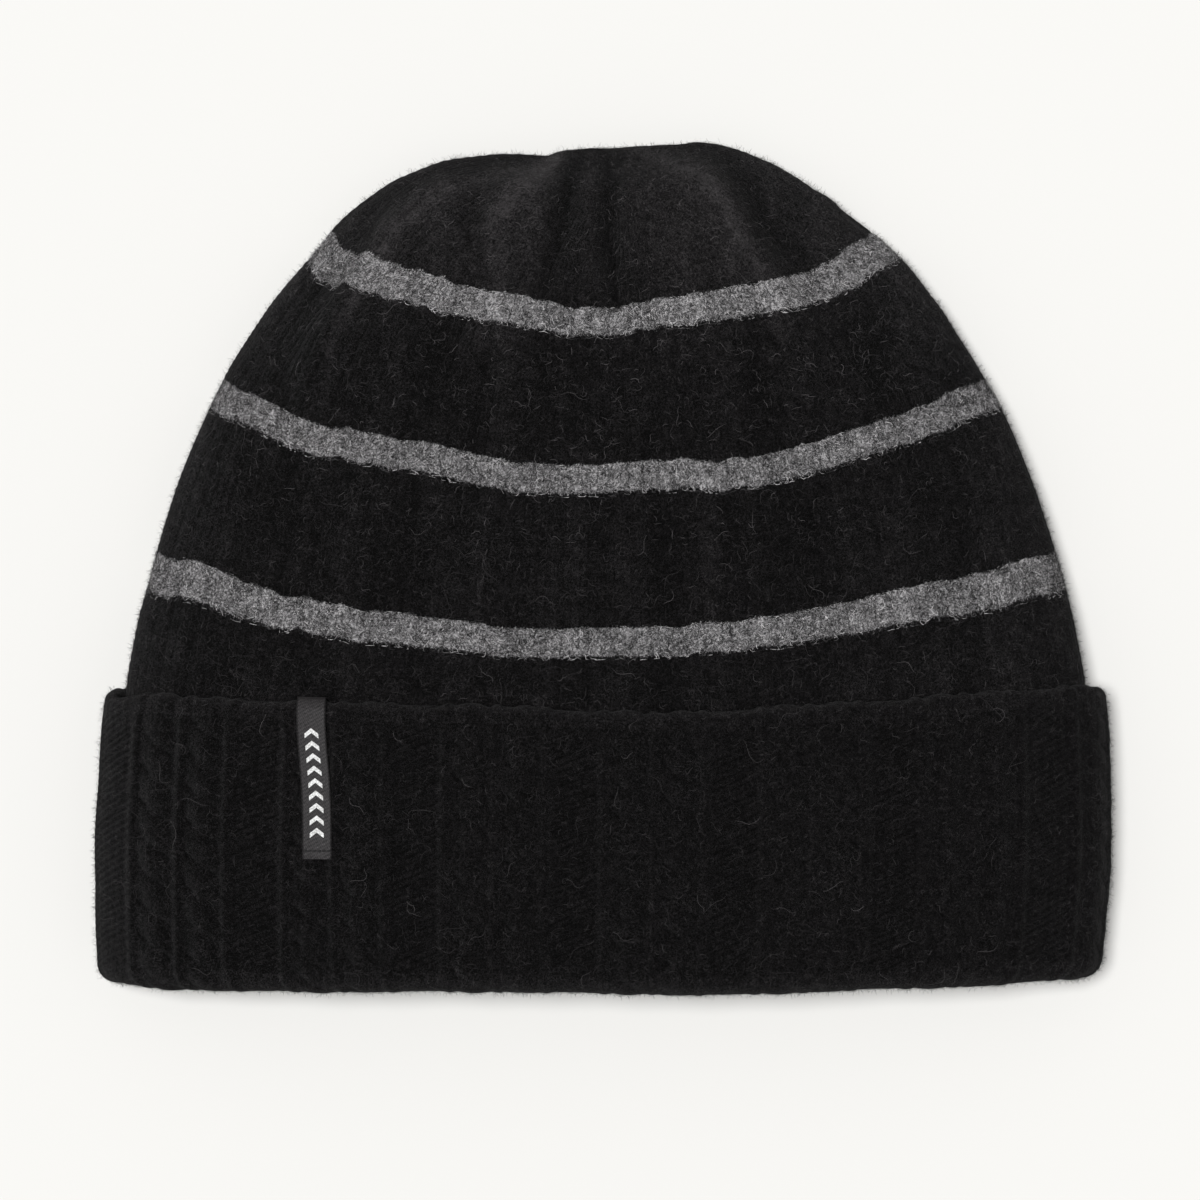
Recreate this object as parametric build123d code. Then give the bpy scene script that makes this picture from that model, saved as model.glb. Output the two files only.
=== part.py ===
from build123d import *
import os
from math import sqrt

# A folded-cuff knit beanie, lying on its back. X runs across the hat, Y from the folded
# lower edge to the crown, Z up from the surface that it lies on. Millimetres.
# "height" below is measured from the folded lower edge along +Y.
# "depth" is measured inwards from the cuff's outer face, through the layers of fabric.

# ---- driving dimensions -------------------------------------------------------------
hat_height = 202.5          # folded edge to the top of the crown
cuff_width = 241.0          # across the cuff where it is widest
cuff_height = 67.3          # turned-up cuff at the middle
cuff_side_rise = 5.7        # how much higher the cuff's free edge is at the sides
cuff_barrel = 2.0           # how much narrower each side is at the cuff's two edges
loft = 42.0                 # thickness of the whole hat over the cuff
cuff_knit = 4.5             # cable knit of the cuff
brim_knit = 3.6             # knit of the crown and of the layer behind the cuff
lining_fleece = 2.4         # fleece band inside the brim
cuff_gap = 0.8              # air between the cuff and the layer behind it
lining_gap = 0.4            # air between the knit and the fleece band
settle = 0.8                # how far the soft underside is pressed flat
crown_fall = 6.0            # how much the crown's front falls evenly towards the top
crown_nose = 15.7           # how much more it falls, close to the top

stripe_width = 6.7          # each stripe, along the hat
top_stripe = (161.6, 180.4)     # upper edge of each stripe: height at the middle, at the sides
middle_stripe = (124.6, 145.4)
lower_stripe = (86.2, 102.9)

brim_below_edge = 5.3       # where the brim's knit ends, below the cuff's free edge
brim_start = cuff_height - brim_below_edge      # and the crown's begins
fold_height = 6.0           # the rolled lower edge, as its own solid
fold_radius = 4.2           # roundness of the rolled lower edge
lining_bottom = 7.0         # fleece band's lower edge
lining_below_edge = 7.3     # fleece band's upper edge, below the cuff's free edge
lining_top = cuff_height - lining_below_edge
lining_thread = 0.6         # thread of the band's two seams
lining_thread_width = 0.9
lining_seam_inset = 3.0     # seams from the band's edges

label_x = -68.9             # woven loop label over the cuff's free edge
label_width = 7.0
label_length = 38.5         # of each leg
label_ribbon = 0.4
label_air = 0.1             # between the ribbon and the knit
label_stitch_radius = 0.2
label_stitch_length = 1.1
label_stitch_count = 4
label_hem = 2.0             # stitch row above the label's lower end

seam_width = 3.0            # linked seam up the middle of the back, inside
seam_ridge = 1.2

care_x = 34.0               # care label, sewn to the fleece band's upper edge inside
care_width = 28.0
care_length = 34.0
care_hem = 6.0
care_satin = 0.4
care_air = 0.1
care_slit = 0.3             # between the sewn hem and the free flap
care_droop = 8.0            # degrees below level, where the flap comes to rest
care_stitch_radius = 0.2
care_stitch_length = 2.4
care_stitch_count = 6

closing_ring = 4.0          # yarn ring that draws the last stitches together
closing_yarn = 0.8
closing_drop = 10.0         # below the top of the crown

# ---- shape of the flattened tube ----------------------------------------------------
body_depth = cuff_knit + cuff_gap
inside_depth = body_depth + brim_knit
lining_depth = inside_depth + lining_gap
crown_base = cuff_height + cuff_side_rise / 2
front_fullness = (0.72, 0.6)    # across and up, towards the corner; 0.55 would be an ellipse
back_fullness = (0.98, 0.98)
side_level = 0.42           # where the side folds lie, between underside and top
outline_rise = 1.4          # the crown's outline as a superellipse
outline_side = 2.6
back_drop = 0.3             # share of the crown over which the underside comes down
reach = 400.0               # larger than the hat, for cutting tools


def place(height):
    """Y of a height above the folded edge: the outline is centred on the origin."""
    return height - hat_height / 2


def ease(t):
    t = min(max(t, 0.0), 1.0)
    return t * t * (3 - 2 * t)


def cuff_half_width(height):
    return cuff_width / 2 - cuff_barrel * (2 * height / crown_base - 1) ** 2


def crown_top(depth):
    return hat_height - (depth - body_depth)


def oval_sizes(height, depth, cuff_only=False):
    """Half width, underside Z and top Z of the tube at a height and depth."""
    if cuff_only or height <= crown_base:
        return cuff_half_width(height) - depth, depth - settle, loft - depth
    share = (height - crown_base) / (crown_top(depth) - crown_base)
    outline = (1 - min(share, 0.998) ** outline_rise) ** (1 / outline_side)
    skin = depth - body_depth
    half_width = (cuff_half_width(crown_base) - body_depth) * outline - skin * outline ** 0.4
    back = body_depth * (1 - ease(share / back_drop)) - settle + skin
    front = loft - depth - crown_fall * share - crown_nose * share ** 4
    return half_width, back, front


def corner(half_width, side, far, fullness):
    """Control points (x, z) of a quarter of a section, from a side fold to the middle."""
    across, up = fullness
    rounded_side = side + up * (far - side)
    return [(half_width, side), (half_width, rounded_side), (half_width * across, far), (0, far)]


def oval(height, depth, cuff_only=False):
    """Closed cross-section of the tube at a height."""
    half_width, back, front = oval_sizes(height, depth, cuff_only)
    side = back + side_level * (front - back)
    quarters = [
        corner(half_width, side, front, front_fullness),
        corner(-half_width, side, front, front_fullness)[::-1],
        corner(-half_width, side, back, back_fullness),
        corner(half_width, side, back, back_fullness)[::-1],
    ]
    return Wire([Bezier(*[(x, place(height), z) for x, z in quarter]) for quarter in quarters])


def surface_z(x, height, depth):
    """Z of the tube's upper face over x."""
    half_width, back, front = oval_sizes(height, depth)
    side = back + side_level * (front - back)
    quarter = corner(half_width, side, front, front_fullness)
    low, high = 0.0, 1.0
    for _ in range(40):
        t = (low + high) / 2
        weights = ((1 - t) ** 3, 3 * (1 - t) ** 2 * t, 3 * (1 - t) * t * t, t ** 3)
        if sum(w * point[0] for w, point in zip(weights, quarter)) > abs(x):
            low = t
        else:
            high = t
    return sum(w * point[1] for w, point in zip(weights, quarter))


def tube(depth):
    """Solid tube from behind the cuff to the crown, at one depth."""
    low = [crown_base * 0.5, crown_base * 0.75, crown_base]
    shares = (0.12, 0.3, 0.5, 0.68, 0.82, 0.92, 0.97, 1.0)
    high = [crown_base + s * (crown_top(depth) - crown_base) for s in shares]
    return Solid.make_loft([oval(h, depth) for h in low + high])


def cuff_tube(depth):
    """Solid tube of the cuff alone, a little taller than its free edge."""
    top = crown_base + 2 * cuff_side_rise
    return Solid.make_loft([oval(top * k / 3, depth, True) for k in range(4)])


def slab(low, high):
    """Everything between two heights."""
    return Pos(0, place((low + high) / 2), 0) * Box(reach, high - low, reach)


def above_arc(middle, sides, half_width, below=0.0):
    """Everything on the crown side of an arc that is higher at the sides than in the middle,
    moved down towards the folded edge by below."""
    rise = sides - middle
    radius = (half_width ** 2 + rise ** 2) / (2 * rise)
    return Pos(0, place(middle + radius), 0) * Cylinder(radius + below, reach)


def above_stripe(stripe, below=0.0):
    half_width = oval_sizes(stripe[1], body_depth)[0]
    return above_arc(*stripe, half_width, below)


def rounded_fold():
    """The rolled lower edge: the two layers joined by a half-round turn."""
    steps = 6
    outer, inner = [], []
    for k in range(steps + 1):
        height = fold_radius * k / steps
        dip = fold_radius - sqrt(fold_radius ** 2 - (fold_radius - height) ** 2)
        outer.append(oval(height, dip, True))
        inner.append(oval(height, inside_depth - dip, True))
    outer.append(oval(fold_height, 0, True))
    inner.append(oval(fold_height, inside_depth, True))
    return Solid.make_loft(outer, ruled=True) - Solid.make_loft(inner, ruled=True)


def thread_ring(height):
    """One line of seam thread round the inside of the fleece band."""
    ring = cuff_tube(lining_depth + lining_fleece) - cuff_tube(lining_depth + lining_fleece + lining_thread)
    return ring & slab(height, height + lining_thread_width)


# ---- the pieces ---------------------------------------------------------------------
lying_side = Pos(0, 0, reach / 2) * Box(reach, reach, reach)
cuff_edge_half = cuff_half_width(cuff_height)


def above_cuff(below=0.0):
    return above_arc(cuff_height, cuff_height + cuff_side_rise, cuff_edge_half, below)


shell = (tube(body_depth) - tube(inside_depth)) & lying_side
brim = (cuff_tube(body_depth) - cuff_tube(inside_depth)) & lying_side
lower_stripe_up = above_stripe(lower_stripe)
lower_stripe_down = above_stripe(lower_stripe, stripe_width)
middle_stripe_up = above_stripe(middle_stripe)
middle_stripe_down = above_stripe(middle_stripe, stripe_width)
top_stripe_up = above_stripe(top_stripe)
top_stripe_down = above_stripe(top_stripe, stripe_width)
crown_half = slab(brim_start, 2 * hat_height)

pieces = {
    "crown_cap": shell & top_stripe_up,
    "top_stripe": (shell & top_stripe_down) - top_stripe_up,
    "upper_band": (shell & middle_stripe_up) - top_stripe_down,
    "middle_stripe": (shell & middle_stripe_down) - middle_stripe_up,
    "middle_band": (shell & lower_stripe_up) - middle_stripe_down,
    "lower_stripe": (shell & lower_stripe_down) - lower_stripe_up,
    "lower_band": (shell & crown_half) - lower_stripe_down,
    "brim_inner_layer": brim & slab(fold_height, brim_start),
    "brim_fold": rounded_fold() & lying_side,
}

cuff = cuff_tube(0) - cuff_tube(cuff_knit)
pieces["cuff"] = (cuff & slab(fold_height, 2 * hat_height) & lying_side) - above_cuff()

lining = cuff_tube(lining_depth) - cuff_tube(lining_depth + lining_fleece)
pieces["fleece_band"] = lining & slab(lining_bottom, lining_top)
pieces["fleece_band_lower_seam"] = thread_ring(lining_bottom + lining_seam_inset)
pieces["fleece_band_upper_seam"] = thread_ring(
    lining_top - lining_seam_inset - lining_thread_width
)


def woven_label():
    """Ribbon loop: one leg on the cuff, one behind it, joined over the free edge."""
    column = Pos(label_x, 0, reach / 2 + loft / 2) * Box(label_width, reach, reach)
    above = -label_air - label_ribbon
    behind = cuff_knit + label_air
    front_leg = (cuff_tube(above) - cuff_tube(-label_air)) & column
    back_leg = (cuff_tube(behind) - cuff_tube(behind + label_ribbon)) & column
    bridge = (cuff_tube(above) - cuff_tube(behind + label_ribbon)) & column
    edge = above_cuff(-label_air)
    over_edge = edge - above_cuff(above)
    legs = (front_leg + back_leg) & slab(cuff_height - label_length, 2 * hat_height)
    return (legs - edge) + (bridge & over_edge)


pieces["woven_label"] = woven_label()


def label_stitches():
    """Row of short stitches that closes the loop at its lower end."""
    height = cuff_height - label_length + label_hem
    stand_off = -(label_air + label_ribbon + label_air + label_stitch_radius)
    pitch = label_width / label_stitch_count
    stitches = []
    for k in range(label_stitch_count):
        x = label_x - label_width / 2 + pitch * (k + 0.5)
        z = surface_z(x, height, stand_off)
        stitch = Rot(0, 90, 0) * Cylinder(label_stitch_radius, label_stitch_length)
        stitches.append(Pos(x, place(height), z) * stitch)
    return Compound(children=stitches)


pieces["label_stitches"] = label_stitches()


def back_seam():
    """Linked seam: a low ridge on the inside of the back, above the fleece band."""
    ridge = tube(inside_depth) - tube(inside_depth + seam_ridge)
    strip = Pos(0, 0, inside_depth + 2 * seam_ridge - reach / 2) * Box(seam_width, reach, reach)
    return ridge & strip & slab(brim_start + 1, hat_height - closing_drop - 8)


pieces["back_seam"] = back_seam()


def closing_ring_z():
    half_width, back, front = oval_sizes(hat_height - closing_drop, inside_depth)
    return (back + front) / 2


pieces["crown_closing_yarn"] = Pos(0, place(hat_height - closing_drop), closing_ring_z()) * (
    Rot(90, 0, 0) * Torus(closing_ring, closing_yarn)
)

care_z = lining_depth + lining_fleece - settle + lining_thread + care_air + care_satin / 2
care_hinge = lining_top + care_slit / 2


def care_label_hem():
    """The end of the care label that is sewn down on the fleece band."""
    low = lining_top - care_hem
    hem = Box(care_width, care_hem - care_slit, care_satin)
    return Pos(care_x, place((low + lining_top - care_slit) / 2), care_z) * hem


def care_label_flap():
    """The free part of the care label, drooping from its seam."""
    flap = Pos(0, care_slit / 2 + care_length / 2, 0) * Box(care_width, care_length, care_satin)
    return Pos(care_x, place(care_hinge), care_z) * (Rot(-care_droop, 0, 0) * flap)


def care_label_stitches():
    pitch = care_width / care_stitch_count
    z = care_z + care_satin / 2 + care_air / 2 + care_stitch_radius
    y = place(lining_top - care_hem / 2)
    stitches = []
    for k in range(care_stitch_count):
        x = care_x - care_width / 2 + pitch * (k + 0.5)
        stitch = Rot(0, 90, 0) * Cylinder(care_stitch_radius, care_stitch_length)
        stitches.append(Pos(x, y, z) * stitch)
    return Compound(children=stitches)


pieces["care_label_hem"] = care_label_hem()
pieces["care_label_flap"] = care_label_flap()
pieces["care_label_stitches"] = care_label_stitches()

os.makedirs("parts", exist_ok=True)
for name, piece in pieces.items():
    export_step(piece, f"parts/{name}.step")
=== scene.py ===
import math

import bpy
import numpy as np
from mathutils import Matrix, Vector


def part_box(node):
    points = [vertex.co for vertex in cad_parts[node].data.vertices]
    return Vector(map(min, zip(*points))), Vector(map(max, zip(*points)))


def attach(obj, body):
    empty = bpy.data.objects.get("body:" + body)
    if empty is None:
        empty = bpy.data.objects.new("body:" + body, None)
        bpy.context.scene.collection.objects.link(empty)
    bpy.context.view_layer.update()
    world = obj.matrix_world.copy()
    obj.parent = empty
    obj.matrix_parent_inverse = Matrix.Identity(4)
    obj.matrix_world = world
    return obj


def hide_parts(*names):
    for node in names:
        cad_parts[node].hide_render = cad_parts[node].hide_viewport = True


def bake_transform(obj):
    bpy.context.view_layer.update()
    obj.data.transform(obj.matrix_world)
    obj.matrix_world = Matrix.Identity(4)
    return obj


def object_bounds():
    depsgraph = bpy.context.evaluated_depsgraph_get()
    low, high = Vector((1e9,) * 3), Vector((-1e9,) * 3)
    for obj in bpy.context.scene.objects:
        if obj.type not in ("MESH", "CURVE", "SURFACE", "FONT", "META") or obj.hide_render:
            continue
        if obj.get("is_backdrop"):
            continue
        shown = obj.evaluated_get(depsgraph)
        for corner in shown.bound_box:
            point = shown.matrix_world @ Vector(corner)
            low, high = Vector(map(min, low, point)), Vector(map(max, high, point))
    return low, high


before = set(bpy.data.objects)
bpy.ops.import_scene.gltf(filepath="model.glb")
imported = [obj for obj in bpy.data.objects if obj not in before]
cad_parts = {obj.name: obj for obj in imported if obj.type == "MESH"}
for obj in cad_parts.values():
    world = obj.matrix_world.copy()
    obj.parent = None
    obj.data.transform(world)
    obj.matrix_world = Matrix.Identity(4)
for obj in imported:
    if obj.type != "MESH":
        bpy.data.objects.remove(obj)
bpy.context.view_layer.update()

mm = 0.001

# ---------------- sizes, in millimetres
def cad(node):
    low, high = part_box(node)
    return np.array(low) / mm, np.array(high) / mm


cuff_high = cad("cuff")[1]
label_low, label_high = cad("woven_label")
fleece_low, fleece_high = cad("fleece_band")

bottom_y = cad("brim_fold")[0][1]
crown_y = cad("crown_cap")[1][1]
loft = cuff_high[2]
cuff_half = cuff_high[0]
edge_middle = cuff_high[1] - 5.9        # free edge of the cuff, in the middle and at the sides
edge_sides = cuff_high[1] - 0.2
wale = 2.26                             # a stitch, across and along
row = 1.65
brim_depth = 8.9                        # two layers of knit
turn = brim_depth / 2
edge_turn = 2.2
settle = 0.8                            # how far the soft underside is pressed flat
relief_room = 1.7                       # room for the knit's relief, which only the outside needs
side_height = 0.42                      # where the side lies, from the underside (0) to the top (1)
inset_from, inset_over = 45, 35         # from here up, and over this much, an inner layer also sits lower
taper_from = -31.1                      # the crown starts to close at this height
crown_end, crown_end_z = 11.0, 8.0      # the rounded closing end: its length and the height it closes at
crown_left, crown_right = -113.6, 115.0     # the crown's widest, either side
cuff_shift = 9.9                        # stitches between the crown's pattern and the cuff's


# ---------------- small maths
def ease(t):
    t = np.clip(t, 0, 1)
    return t * t * (3 - 2 * t)


def curve(x, points):
    """Smooth curve through given (x, y) points."""
    xs, ys = np.array(points, float).T
    slope = np.gradient(ys, xs)
    i = np.clip(np.searchsorted(xs, x) - 1, 0, len(xs) - 2)
    w = xs[i + 1] - xs[i]
    t = np.clip((x - xs[i]) / w, 0, 1)
    a = 2 * t ** 3 - 3 * t ** 2 + 1
    b = t ** 3 - 2 * t ** 2 + t
    c = t ** 3 - t ** 2
    return a * ys[i] + (1 - a) * ys[i + 1] + b * w * slope[i] + c * w * slope[i + 1]


def lumps(x, y, seed):
    """Smooth random bumps about one unit across, from -1 to 1."""
    table = np.random.default_rng(seed).uniform(-1, 1, (64, 64))
    xi, yi = np.floor(x).astype(int), np.floor(y).astype(int)
    tx, ty = ease(x - xi), ease(y - yi)
    def at(i, j):
        return table[i % 64, j % 64]
    low = at(xi, yi) * (1 - tx) + at(xi + 1, yi) * tx
    high = at(xi, yi + 1) * (1 - tx) + at(xi + 1, yi + 1) * tx
    return low * (1 - ty) + high * ty


def rough(x, y, seed):
    return lumps(x, y, seed) * 0.6 + lumps(x * 2.1, y * 2.1, seed + 1) * 0.3 + lumps(x * 4.3, y * 4.3,
                                                                                     seed + 2) * 0.15


def hump(t):
    """1 at 0, falling to 0 at 1 on either side."""
    t = np.clip(np.abs(t), 0, 1)
    return (1 - t * t) ** 2


# ---------------- the flattened tube
def half_section(count, across_full, up_full):
    """Points at even steps along half a cross-section: across from -1 to 1, rise from 0 to 1."""
    t = np.linspace(0, 1, 400)
    x = (1 - t) ** 3 + 3 * (1 - t) ** 2 * t + 3 * (1 - t) * t * t * across_full
    z = 3 * (1 - t) ** 2 * t * up_full + 3 * (1 - t) * t * t + t ** 3
    x = np.concatenate([-x, x[-2::-1]])
    z = np.concatenate([z, z[-2::-1]])
    wide, high = 118, 22
    step = np.hypot(np.diff(x) * wide, np.diff(z) * high)
    length = np.concatenate([[0], np.cumsum(step)])
    at = np.linspace(0, length[-1], count)
    return np.interp(at, length, x), np.interp(at, length, z)


front_wales, back_wales = 108, 100
front_columns, back_columns = front_wales * 5, back_wales * 3
front_across, front_rise = half_section(front_columns + 1, 0.72, 0.6)
back_across, back_rise = half_section(back_columns + 1, 0.98, 0.98)

# one closed loop of columns: the front from left to right, then the back from right to left
across = np.concatenate([front_across, back_across[-2:0:-1]])
rise = np.concatenate([front_rise, back_rise[-2:0:-1]])
is_front = np.arange(len(across)) <= front_columns
stitch = np.concatenate([
    np.linspace(0, front_wales, front_columns + 1),
    front_wales + np.linspace(0, back_wales, back_columns + 1)[1:-1],
])

def taper(y):
    """Share of the way up the closing crown, from 0 to 1."""
    return np.clip((y - taper_from) / (crown_y - taper_from), 0, 1)


# crown outline: left and right side at each height
crown_foot = -49.5
outline_share = np.linspace(0, 1, 1500)
outline_y = crown_foot + (crown_y - crown_foot) * outline_share
superellipse = (1 - taper(outline_y) ** 1.4) ** (1 / 2.6)
left_side = crown_left * superellipse + curve(outline_y,
        [(-50, 0), (0, 0.4), (40, -0.5), (75, -0.8), (92, -1.5), (102, 3)])
right_side = crown_right * superellipse + curve(outline_y,
        [(-50, 0), (0, -0.6), (40, 0.3), (75, -0.6), (92, -0.5), (102, 3)])


def along(x, y):
    return np.concatenate([[0], np.cumsum(np.hypot(np.diff(x), np.diff(y)))])


left_length, right_length = along(left_side, outline_y), along(right_side, outline_y)

# stripes: how far each hangs below its ends, as a share of its full drop, from left to right
lower_hang = [(-1, 0), (-.9, .13), (-.81, .34), (-.72, .53), (-.55, .74), (-.37, .88), (-.19, .985),
              (-.02, 1), (.16, .97), (.335, .85), (.51, .67), (.69, .43), (.86, .2), (1, 0)]
middle_hang = [(-1, 0), (-.9, .22), (-.83, .375), (-.74, .55), (-.69, .565), (-.625, .62), (-.42, .78),
               (-.32, .9), (-.22, .958), (-.015, 1), (.086, .944), (.19, .925), (.29, .958), (.39, .9),
               (.49, .81), (.695, .52), (.9, .164), (1, 0)]
top_hang = [(-1, 0), (-.955, .2), (-.895, .41), (-.86, .33), (-.80, .4), (-.743, .465), (-.6, .595),
            (-.459, .76), (-.317, .82), (-.19, .87), (-.13, .955), (.03, 1), (.1, .92), (.253, .845),
            (.537, .7), (.63, .67), (.7, .58), (.822, .38), (1, 0)]


def stripe_ends(node):
    low, high = cad(node)
    half = 3.35
    return low[1] + half, high[1] - half


stripe_rows = {"lower_stripe": 19, "middle_stripe": 42, "top_stripe": 65}
apex_row = 93
stripe_half_rows = 2.0
middles, sides = {}, {}
for node, at_row in stripe_rows.items():
    middles[at_row], sides[at_row] = stripe_ends(node)


def length_at(y, outline_length):
    return float(np.interp(y, outline_y, outline_length))


def end_curve(outline_length):
    marks = [(-4, -9.0), (0, 0.0)]
    marks += [(r, length_at(y, outline_length)) for r, y in sides.items()]
    return marks + [(apex_row, outline_length[-1])]


left_marks, right_marks = end_curve(left_length), end_curve(right_length)
middle_marks = [(-4, crown_foot - 8), (0, crown_foot)] + list(middles.items())
middle_marks += [(79, 80.0), (87, 92.5), (apex_row, crown_y)]


def crown_top_z(y):
    share = taper(y)
    return loft - 5.3 - 6.0 * share - 15.7 * share ** 4


def crown_under_z(y):
    share = taper(y)
    return np.maximum(5.3 * (1 - ease(share / 0.3)) - 0.8, 0.45)


def hang_profile(rows, x):
    """Shape of each knitted row between its ends: 0 at the ends, 1 where it hangs lowest."""
    plain = 1 - x * x
    guides = [(0, plain)]
    for (r, _), hang in zip(sides.items(), (lower_hang, middle_hang, top_hang)):
        guides.append((r, np.interp(x, *np.array(hang).T)))
    guides += [(79, 1 - np.abs(x) ** 1.8), (apex_row, plain)]
    shape = np.zeros((len(rows), len(x)))
    for i, r in enumerate(rows):
        k = int(np.clip(np.searchsorted([g[0] for g in guides], r) - 1, 0, len(guides) - 2))
        t = np.clip((r - guides[k][0]) / (guides[k + 1][0] - guides[k][0]), 0, 1)
        shape[i] = guides[k][1] * (1 - t) + guides[k + 1][1] * t
    return shape


def crown_grid(rows, columns=slice(None), inset=0.0):
    """The crown's smooth shape: rows of knitting by columns round the loop."""
    rows = np.asarray(rows, float)
    x = across[columns]
    z = rise[columns]
    front = is_front[columns]
    ll, rl = curve(rows, left_marks), curve(rows, right_marks)
    xl, yl = np.interp(ll, left_length, left_side), np.interp(ll, left_length, outline_y)
    xr, yr = np.interp(rl, right_length, right_side), np.interp(rl, right_length, outline_y)
    yl, yr = yl + np.minimum(ll, 0), yr + np.minimum(rl, 0)
    middle = (xl + xr) / 2
    half = (xr - xl) / 2 - inset
    level = yl[:, None] + (yr - yl)[:, None] * (x[None] + 1) / 2
    drop = (yl + yr) / 2 - curve(rows, middle_marks)
    shape = np.where(front[None], hang_profile(rows, x), (1 - x * x)[None])
    px = middle[:, None] + half[:, None] * x[None]
    py = level - drop[:, None] * shape - inset * ease((level - inset_from) / inset_over)
    end = np.clip((py - (crown_y - crown_end)) / crown_end, 0, 1)
    round_off = (1 - end ** 2.4) ** (1 / 2.4)
    centre = crown_end_z
    top = centre + (crown_top_z(py) - inset - centre) * round_off
    under = centre + (crown_under_z(py) + inset - centre) * round_off
    side = under + side_height * (top - under)
    pz = np.where(front[None], side + (top - side) * z[None], side - (side - under) * z[None])
    return np.stack([px, py, pz], -1)


# ---------------- the turned-up cuff
def cuff_edges(x, front):
    """Folded edge and free edge in Y, for x from -1 to 1."""
    fold = bottom_y + curve(x, [(-1, 2.2), (-.93, 1.5), (-.6, .6), (-.3, 1.0), (0, .4), (.25, .2), (.5, 1.1),
                                (.75, 1.9), (.93, 2.9), (1, 3.3)])
    peek = hump((x - 0.5) / 0.45) * 1.9 - 0.9
    fold = np.where(front, fold, fold - peek)
    free = edge_middle + (edge_sides - edge_middle) * np.abs(x) ** 1.8
    free = free - 1.3 * ease((np.abs(x) - .93) / .07)
    waves = [(-1, -1.6), (-.6, -.3), (-.2, .6), (.1, -.6), (.5, .2), (.8, .4), (1, .6)]
    free = free + np.where(front, curve(x, waves), 0)
    return fold, free


def cuff_half_width(y):
    """Left and right half widths, barrelled, with the hat's own small unevenness."""
    share = (y - bottom_y) / (edge_sides - bottom_y)
    left = cuff_half - 2.2 * np.clip(share - .35, 0, 1) ** 2 * 2.4 - 1.1 * np.clip(.35 - share, 0, 1) ** 2 * 6
    right = cuff_half - 1.6 * np.clip(share - .5, 0, 1) ** 2 * 3 - 2.4 * np.clip(.55 - share, 0, 1) ** 2 * 4
    return left, right


def cuff_shape(x, z, front, heights, depth):
    """The cuff's smooth shape at shares of its height, 0 at the fold and 1 at the free edge, and a depth
    into the fabric; x runs across from -1 to 1 and z is the rise at x."""
    fold, free = cuff_edges(x, front)
    y = fold + (free - fold) * heights
    left, right = cuff_half_width(y)
    half = np.where(x < 0, left, right) - depth
    px = half * x
    pressed = relief_room * (1 - ease(depth / brim_depth))
    top, under = loft - 1.0 - depth, depth - settle + pressed
    side = under + side_height * (top - under)
    pz = np.where(front, side + (top - side) * z, side - (side - under) * z)
    return np.stack(np.broadcast_arrays(px, y, pz), -1)


def cuff_grid(heights, depth, columns=slice(None)):
    """Rows at the given heights and depths, by columns round the loop."""
    heights, depth = np.asarray(heights, float)[:, None], np.asarray(depth, float).reshape(-1, 1)
    return cuff_shape(across[columns][None], rise[columns][None], is_front[columns][None], heights, depth)


# ---------------- folds of the crown
def nearest(p, path):
    """Distance from a path, positive on the left of its direction, and the share along it."""
    path = np.array(path, float)
    best = np.full(p.shape[:2], 1e9)
    signed, share = np.zeros(p.shape[:2]), np.zeros(p.shape[:2])
    lengths = along(path[:, 0], path[:, 1])
    for i in range(len(path) - 1):
        a, d = path[i], path[i + 1] - path[i]
        q = p[..., :2] - a
        t = np.clip((q @ d) / (d @ d), 0, 1)
        off = q - t[..., None] * d
        dist = np.hypot(off[..., 0], off[..., 1])
        near = dist < best
        best = np.where(near, dist, best)
        signed = np.where(near, dist * np.sign(d[0] * q[..., 1] - d[1] * q[..., 0]), signed)
        share = np.where(near, (lengths[i] + t * (lengths[i + 1] - lengths[i])) / lengths[-1], share)
    return signed, share


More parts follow.
